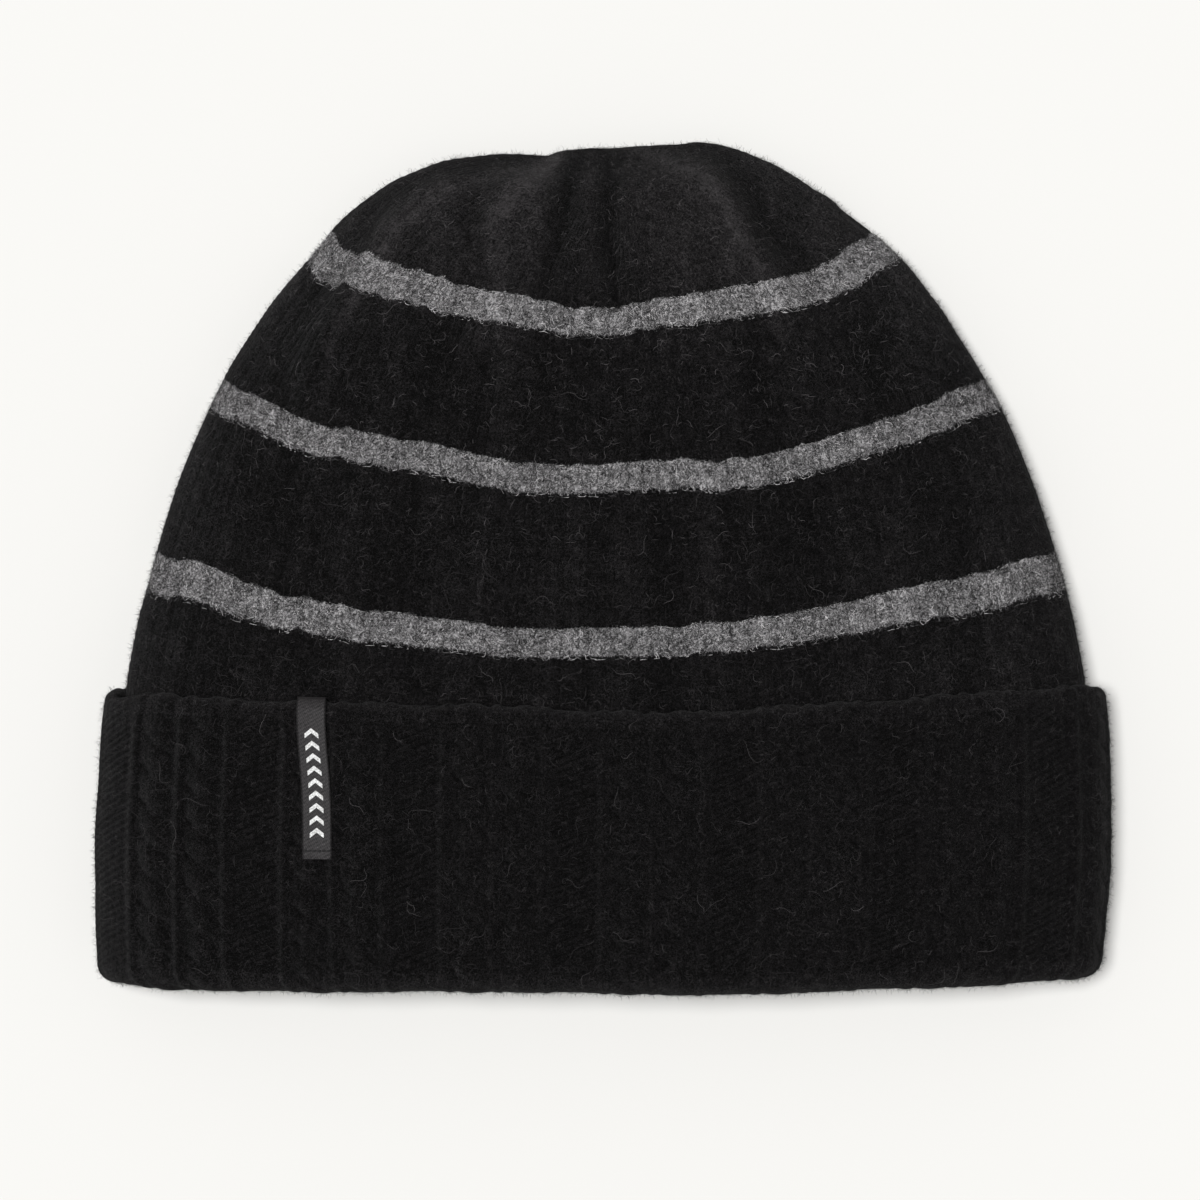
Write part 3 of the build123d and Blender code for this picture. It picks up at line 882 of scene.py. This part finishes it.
# ---------------- fleece band and its seams
band_foot = (fleece_low[1] - bottom_y) / (edge_middle - bottom_y)
band_head = (fleece_high[1] - bottom_y) / (edge_middle - bottom_y)
band_profile = [(band_foot + 0.015, 9.3), (band_foot, 9.9), (band_foot, 10.9), (band_foot + 0.015, 11.6)]
band_profile += [(h, 11.7) for h in np.linspace(band_foot + 0.03, band_head - 0.03, 40)]
band_profile += [(band_head - 0.015, 11.6), (band_head, 10.9), (band_head, 9.9), (band_head - 0.015, 9.3)]
band_heights, band_depths = np.array(band_profile).T
band = cuff_grid(band_heights, band_depths, inner_columns)
band_along = np.cumsum(np.full(len(inner_columns), 2.2))[None] + 0 * band_heights[:, None]
band_up = (band_heights * 62)[:, None] + 0 * band_along
pile = 0.25 * rough(band_along / 2.6, band_up / 2.6, 80) * (band_depths > 11)[:, None]
band = band - outward(band) * pile[..., None]
fleece_piece = grid_piece("fleece_band_pile", band, np.stack([band_along, band_up], -1), fleece,
                          slot="black_fleece", nodes=["fleece_band"], flip=True, floats={"edge": 0.0})


def tube(name, path, radius, material, sides=6, closed=True, nodes=(), flat=1.0, twist=0.0):
    """A thread, yarn or ridge along a line of points; twist gives it two plies."""
    path = np.asarray(path, float)
    count = len(path)
    ahead = np.roll(path, -1, 0) - np.roll(path, 1, 0) if closed else np.gradient(path, axis=0)
    ahead /= np.linalg.norm(ahead, axis=1, keepdims=True)
    up = np.where(np.abs(ahead[:, 2:]) > 0.9, [[0, 1.0, 0]], [[0, 0, 1.0]])
    side = np.cross(ahead, up)
    side /= np.linalg.norm(side, axis=1, keepdims=True)
    up = np.cross(side, ahead)
    turns = np.arange(sides) * 2 * np.pi / sides
    ply = 1 + 0.28 * np.cos(2 * (turns[None] - twist * np.arange(count)[:, None])) if twist else 1.0
    size = radius * np.broadcast_to(ply, (count, sides))
    if not closed:
        size = size * (1 - np.abs(np.linspace(-1, 1, count)) ** 12)[:, None].clip(0.05)
    ring = (path[:, None] + side[:, None] * (np.cos(turns) * size)[..., None]
            + up[:, None] * (np.sin(turns) * size * flat)[..., None])
    index = np.arange(count * sides).reshape(count, sides)
    after = np.roll(index, -1, 0) if closed else index[1:]
    here = index if closed else index[:-1]
    quads = np.stack([here, np.roll(here, -1, 1), np.roll(after, -1, 1), after], -1).reshape(-1, 4)
    return mesh_piece(name, ring.reshape(-1, 3), quads[:, ::-1], material, nodes)


def overlock(name, node):
    """Thread that crosses the edge of the fleece band and back, all the way round."""
    columns = np.arange(0, len(across), 2)
    swing = np.array([-1, -0.3, 1, 0.3])[np.arange(len(columns)) % 4]
    seam_low, seam_high = cad(node)
    height = ((seam_low[1] + seam_high[1]) / 2 - bottom_y) / (edge_middle - bottom_y)
    line = cuff_shape(across[columns], rise[columns], is_front[columns], height + 0.013 * swing, 12.0)
    tube(name, line, 0.24, black_thread, nodes=[node])


overlock("lower_overlock_thread", "fleece_band_lower_seam")
overlock("upper_overlock_thread", "fleece_band_upper_seam")

# ---------------- back seam and closing yarn
back_middle = [front_columns + back_columns // 2]
seam_rows = np.arange(4, 80, 0.5)
seam_line = crown_grid(seam_rows, back_middle, inset=3.9)[:, 0]
seam_line[:, 0] = 0.35 * np.sin(seam_rows * 2.4)
seam_line[:, 2] += 0.9 + 0.12 * np.sin(seam_rows * 5)
tube("back_seam_ridge", seam_line, 1.35, black_wool, sides=10, closed=False,
     nodes=["back_seam"], flat=0.75)

yarn_low, yarn_high = cad("crown_closing_yarn")
yarn_turn = np.linspace(0, 2 * np.pi, 72, endpoint=False)
yarn_middle, yarn_half = (yarn_low + yarn_high) / 2, (yarn_high - yarn_low) / 2 - 0.8
yarn_line = np.stack([yarn_middle[0] + yarn_half[0] * np.cos(yarn_turn),
                      yarn_middle[1] + 0.25 * np.sin(3 * yarn_turn),
                      yarn_middle[2] + yarn_half[2] * np.sin(yarn_turn)], -1)
tube("crown_closing_yarn_ring", yarn_line, 0.78, black_wool, sides=8,
     nodes=["crown_closing_yarn"], twist=0.35)

# ---------------- woven label over the cuff's edge
label_arc = np.linspace(0, math.pi, 15)
front_leg, back_leg, face_points = 60, 24, 13       # rows of points in each leg, and points across a face
proud = 1.2
label_foot_y, label_x = -70.7, -67.05
leg_low = (label_foot_y - bottom_y) / (edge_middle - 1.0 - bottom_y)
label_heights = np.concatenate([
    np.linspace(leg_low, edge_share, front_leg)[:-1],
    edge_share + (1 - edge_share) * np.sin(label_arc) * (1 + proud / edge_turn),
    np.linspace(edge_share, 0.62, back_leg)[1:]])
label_depths = np.concatenate([np.full(front_leg - 1, -proud),
                               edge_turn - (edge_turn + proud) * np.cos(label_arc),
                               np.full(back_leg - 1, 2 * edge_turn + proud)])
label_wide = (label_high[0] - label_low[0]) / 2


def on_label(u, row, lift=0.0):
    """A point on the label: u from -1 to 1 across, row along its length from the bottom of the front leg."""
    h = np.interp(row, np.arange(len(label_heights)), label_heights)
    d = np.interp(row, np.arange(len(label_depths)), label_depths)
    lean = ease((h - leg_low) / (1 - leg_low))
    x = (label_x - 2.4 * lean + 0.5 * np.sin(np.pi * lean) + label_wide * u) / (cuff_half - 0.5 - (d - lift))
    p = cuff_shape(x, np.interp(x, front_across, front_rise), True, h, d - lift)
    p[..., 2] += cuff_waves(p) + 0.12 * np.cos(np.pi * u)
    return p


label_rows = np.arange(len(label_heights), dtype=float)
ring_u = np.concatenate([np.linspace(-1, 1, face_points), np.linspace(1, -1, face_points)])
ring_lift = np.concatenate([np.full(face_points, 0.22), np.full(face_points, -0.22)])
closed_ends = (1 - np.abs(np.linspace(-1, 1, len(label_rows))) ** 60)[:, None]
label_points = on_label(ring_u[None], label_rows[:, None], ring_lift[None] * closed_ends)
label_middle = on_label(np.zeros(len(label_rows)), label_rows)
label_run = along(label_middle[:, 1], label_middle[:, 2])
label_run = label_run - label_run[front_leg - 1 + len(label_arc) // 2]
label_uv = np.stack(np.broadcast_arrays((ring_u[None] + 1) / 2, label_run[:, None]), -1)
grid_piece("woven_label_ribbon", label_points[:, ::-1], label_uv[:, ::-1], label_weave, slot="label_ribbon",
           nodes=["woven_label"])

chevron_points, chevron_quads = [], []
chevron_half, chevron_rise, chevron_bold = 0.47, 2.2, 0.95
for place in np.linspace(9.5, 49.5, 9):
    for hand in (-1, 1):
        u = hand * np.linspace(0, chevron_half, 5)
        middle = place + chevron_rise * (1 - np.abs(u) / chevron_half)
        base = len(chevron_points)
        for offset, lift in ((-chevron_bold, 0.24), (0, 0.38), (chevron_bold, 0.24)):
            chevron_points += list(on_label(u, middle + offset, np.full(5, lift)))
        for j in range(2):
            for i in range(4):
                a = base + j * 5 + i
                quad = [a, a + 1, a + 6, a + 5]
                chevron_quads.append(quad if hand > 0 else quad[::-1])
mesh_piece("label_chevrons", chevron_points, chevron_quads, white_thread)


def stitches(name, middles, lean, length, radius, material, slot, nodes):
    """Short sewn stitches, each a small capsule."""
    turns = np.arange(8) * np.pi / 4
    points, quads = [], []
    for m, d in zip(middles, lean):
        d = np.asarray(d, float) / np.linalg.norm(d)
        side = np.cross(d, [0, 0, 1.0])
        up = np.cross(side, d)
        base = len(points)
        for t in (-1, -0.8, -0.3, 0.3, 0.8, 1):
            r = radius * max(1 - abs(t) ** 4, 0.05) ** 0.5
            points += [m + d * t * length / 2 + side * r * np.cos(a) + up * r * np.sin(a) for a in turns]
        for k in range(5):
            for i in range(8):
                a, b = base + k * 8 + i, base + k * 8 + (i + 1) % 8
                quads.append([a, a + 8, b + 8, b])
    return mesh_piece(name, points, quads, material, nodes)


stitch_u = np.linspace(-0.8, 0.8, 6)
stitch_middles = on_label(stitch_u, np.full(6, 3.4), np.full(6, 0.3))
stitches("label_stitch_thread", stitch_middles, [(1, 0.12, 0)] * 6, 0.95, 0.24, black_thread, "black_thread",
         ["label_stitches"])

# ---------------- care label inside
hem_low, hem_high = cad("care_label_hem")
flap_high = cad("care_label_flap")[1]
care_line = [(hem_low[1], 11.78), (-44.5, 11.82), (-42.0, 11.8), (-40.5, 11.7), (-37, 11.2), (-32, 10.5),
             (-25, 9.4), (-17, 8.2), (-11, 7.5), (flap_high[1], 7.15)]
care_y = np.concatenate([np.linspace(hem_low[1], -40, 16), np.linspace(-39.5, flap_high[1], 50)])
care_u = np.linspace(0, 1, 29)
care_curl = 0.35 * ease((care_y + 38) / 25)[:, None] * np.sin(care_u * 4.2 - 0.7)[None]
care_z = curve(care_y, care_line)[:, None] + care_curl
care_x = (hem_low[0] + (hem_high[0] - hem_low[0]) * care_u)[None] + 0.25 * ease((care_y + 35) / 30)[:, None]
care_points = np.stack(np.broadcast_arrays(care_x, care_y[:, None], care_z), -1)
care_uv = np.stack(np.broadcast_arrays(care_u[None], (care_y - care_y[0])[:, None]), -1)
care = grid_piece("care_label_ribbon", care_points, care_uv, care_satin, closed=False, body=None,
                  slot="care_satin",
                  nodes=["care_label_hem", "care_label_flap"])
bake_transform(care)
sewn_low, sewn_high = cad("care_label_stitches")
sewn_x = np.linspace(sewn_low[0] + 1.6, sewn_high[0] - 1.6, 8)
sewn = np.stack([sewn_x, np.full(8, (sewn_low[1] + sewn_high[1]) / 2), np.full(8, 12.05)], -1)
stitches("care_label_stitch_thread", sewn, [(1, 0, 0)] * 8, 2.2, 0.2, white_thread, "white_thread",
         ["care_label_stitches"])

# ---------------- loose fibres on the outside
def black_fuzz(name, surface, count, seed, length, lift, tones, **more):
    fibres(name, surface, count, seed, length, lift, tones, black_fibre, "black_wool", **more)


crown_seen, cuff_seen = crown_points[row_zero:], cuff_points[4:-14]
halfway = int((33 - first) * samples)
lying = {"width": 0.055, "edges": 2.0}
back = {"steps": 3, "edges": 1.5}
upright = {"steps": 3, "width": 0.05, "standing": 0.85}
strays = {"steps": 8, "width": 0.042}
for part, surface, seed, lift, tones in (
        ("lower", crown_points[row_zero:halfway], 101, (0.1, 0.4), (0.1, 0.92)),
        ("upper", crown_points[halfway:], 102, (0.1, 0.45), (0.2, 0.97))):
    black_fuzz(f"{part}_crown_fuzz", surface[:, front_slice], 20000, seed, (1.0, 3.0), lift, tones, **lying)
black_fuzz("cuff_front_fuzz", cuff_points[4:-8, front_slice], 22000, 103, (1.0, 2.8), (0.1, 0.4), (0.0, 0.9),
           **lying)
for part, surface, count, seed in (("crown", crown_seen, 9000, 104), ("cuff", cuff_seen, 6000, 105)):
    black_fuzz(f"{part}_back_fuzz", surface[:, back_slice[:-1]], count, seed, (1.6, 4.0), (0.1, 0.4),
               (0.1, 0.86),
               **back)
for k, (node, at_row) in enumerate(stripe_rows.items()):
    low_row, high_row = [int((at_row + d - first) * samples) for d in (-2.3, 2.4)]
    fibres(f"{node}_fuzz", crown_points[low_row:high_row], 5200, 110 + k, (0.9, 2.6), (0.08, 0.4), (0.0, 1.0),
           grey_fibre, "grey_wool", steps=3, standing=0.06)
    black_fuzz(f"{node}_crossing_fuzz", crown_points[low_row - 2:high_row + 2], 2600, 120 + k, (0.9, 2.4),
               (0.1, 0.4), (0.0, 0.6), steps=3, width=0.09, standing=0.06)
near_side = np.where(rise < 0.45)[0]
from_start = np.where(near_side > len(across) * 0.75, near_side - len(across), near_side)
left_edge = np.sort(from_start[across[near_side] < 0])
right_edge = near_side[across[near_side] > 0]
for side, columns, seed in (("left", left_edge, 140), ("right", right_edge, 141)):
    black_fuzz(f"crown_{side}_outline_fuzz", crown_seen[:, columns], 3400, seed, (0.8, 2.2), (0.15, 0.5),
               (0.2, 0.9),
               **upright)
    black_fuzz(f"cuff_{side}_outline_fuzz", cuff_seen[:, columns], 1800, seed + 2, (0.8, 2.0), (0.15, 0.45),
               (0.2, 0.9), **upright)
black_fuzz("fold_outline_fuzz", cuff_points[2:fold_end + 6, front_slice], 3000, 144, (0.8, 2.0), (0.15, 0.45),
           (0.2, 0.9), **upright)
for part, surface, count, seed in (("crown", crown_seen, 1100, 130), ("cuff", cuff_seen, 700, 131)):
    black_fuzz(f"{part}_strays", surface[:, front_slice], count, seed, (3.5, 8), (0.2, 0.7), (0.55, 0.97),
               **strays)

# ---------------- floor, light, camera
bpy.ops.object.select_all(action="DESELECT")
bpy.ops.mesh.primitive_plane_add(size=12)
floor = bpy.context.object
floor.name = "studio_floor"
paper, *_, paper_shader = new_material("pale_paper")
set_inputs(paper_shader, Base_Color=(0.90, 0.893, 0.868, 1), Roughness=0.9, Specular_IOR_Level=0.1)
floor.data.materials.append(paper)
floor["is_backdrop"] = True

sun = bpy.data.lights.new("overhead_softbox", "SUN")
sun.energy = 2.72
sun.angle = math.radians(15)
sun_lamp = bpy.data.objects.new("overhead_softbox", sun)
sun_lamp.rotation_mode = "QUATERNION"
sun_lamp.rotation_quaternion = Vector((0.135, -0.055, -1)).to_track_quat("-Z", "Y")
bpy.context.scene.collection.objects.link(sun_lamp)
world = bpy.data.worlds.new("studio")
world.use_nodes = True
world.node_tree.nodes["Background"].inputs["Color"].default_value = (1, 1, 1, 1)
world.node_tree.nodes["Background"].inputs["Strength"].default_value = 0.21
bpy.context.scene.world = world

camera_data = bpy.data.cameras.new("camera")
camera_data.sensor_width = 36
camera_distance, view_width = 1.6, 0.2856
camera_data.lens = camera_data.sensor_width * camera_distance / view_width
camera = bpy.data.objects.new("camera", camera_data)
camera.location = (-0.0008, -0.0082, camera_distance + 0.018)
camera_data.clip_start = 0.05
bpy.context.scene.collection.objects.link(camera)
bpy.context.scene.camera = camera
bpy.context.scene.view_settings.view_transform = "Standard"

low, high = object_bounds()
